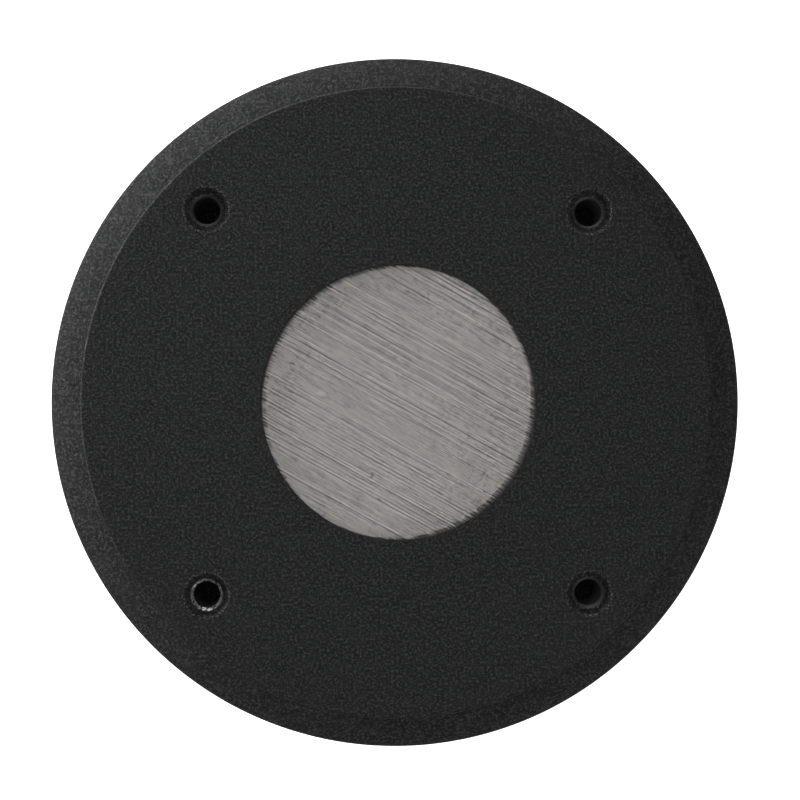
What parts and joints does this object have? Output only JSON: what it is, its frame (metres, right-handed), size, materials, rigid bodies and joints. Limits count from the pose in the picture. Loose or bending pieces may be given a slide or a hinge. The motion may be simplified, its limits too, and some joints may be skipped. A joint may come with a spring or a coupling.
{
  "type": "bolt-on compression driver",
  "caption": "Car tweeter of the horn-loaded kind: a round compression driver with a wire screen over a wide throat, tapped holes for a horn and push terminals on its side.",
  "frame": {"origin": "centre of the throat's mouth, in the plane of the mounting land", "axes": "+Z out of the throat, towards the horn; -Y towards the terminals; the body lies below Z = 0 and stands on its flat back"},
  "size_m": [0.13, 0.13, 0.066],
  "materials": {
    "coat_black": "fine textured powder coat",
    "screen_wire": "woven stainless wire",
    "ring_fibre": "matt fibre board",
    "dust_cloth": "thin open acoustic cloth",
    "pole_steel": "turned steel",
    "copper": "bright copper",
    "magnet_nickel": "satin nickel plate",
    "band_plastic": "fine grained moulding",
    "plate_zinc": "zinc plated, turned",
    "plug_resin": "glass filled moulding",
    "dome_titanium": "pressed titanium foil",
    "former_film": "polyimide film",
    "surround_film": "treated polyester film",
    "lead_foil": "tinned flat lead",
    "ring_plastic": "glass filled moulding",
    "screw_zinc": "zinc plated",
    "pin_steel": "ground steel",
    "brass": "plain brass",
    "lug_tin": "tinned brass",
    "gasket_rubber": "matt sheet rubber",
    "cover_cast": "die cast aluminium with a black satin coat",
    "foam": "open cell foam",
    "screw_black": "black oxide",
    "block_plastic": "moulded",
    "post_nickel": "nickel plated brass",
    "button_red": "moulded",
    "button_black": "moulded",
    "spring_steel": "drawn spring wire",
    "wire_red": "insulation",
    "wire_black": "insulation"
  },
  "bodies": {
    "housing": {"front_plate": "coat_black", "screen_mesh": "screen_wire", "screen_ring": "ring_fibre", "dust_cloth": "dust_cloth", "pole_piece": "pole_steel", "shorting_sleeve": "copper", "magnet_ring": "magnet_nickel", "magnet_band": "band_plastic", "top_plate": "plate_zinc", "phase_plug": "plug_resin", "surround": "surround_film", "coil_leads": "lead_foil", "diaphragm_ring": "ring_plastic", "diaphragm_screws": "screw_zinc", "block_screws": "screw_zinc", "locating_pins": "pin_steel", "solder_tabs": "brass", "post_nuts": "brass", "solder_lugs": "lug_tin", "cover_gasket": "gasket_rubber", "rear_cover": "cover_cast", "damping_foam": "foam", "cover_screws": "screw_black", "terminal_block": "block_plastic", "red_post": "post_nickel", "black_post": "post_nickel", "red_spring": "spring_steel", "black_spring": "spring_steel", "red_wire": "wire_red", "black_wire": "wire_black"},
    "diaphragm": {"dome": "dome_titanium", "coil_former": "former_film", "voice_coil": "copper"},
    "red_push": {"red_button": "button_red"},
    "black_push": {"black_button": "button_black"}
  },
  "joints": [
    {"name": "diaphragm_stroke", "type": "slide", "parent": "housing", "child": "diaphragm", "axis": [0, 0, 1], "range_m": [-0.0004, 0.0004], "stiffness_N_per_m": 1000, "deforming": ["surround", "coil_leads"]},
    {"name": "red_press", "type": "slide", "parent": "housing", "child": "red_push", "axis": [0, 1, 0], "range_m": [0, 0.0025], "stiffness_N_per_m": 400, "springref_m": -0.002, "deforming": ["red_spring"]},
    {"name": "black_press", "type": "slide", "parent": "housing", "child": "black_push", "axis": [0, 1, 0], "range_m": [0, 0.0025], "stiffness_N_per_m": 400, "springref_m": -0.002, "deforming": ["black_spring"]}
  ]
}
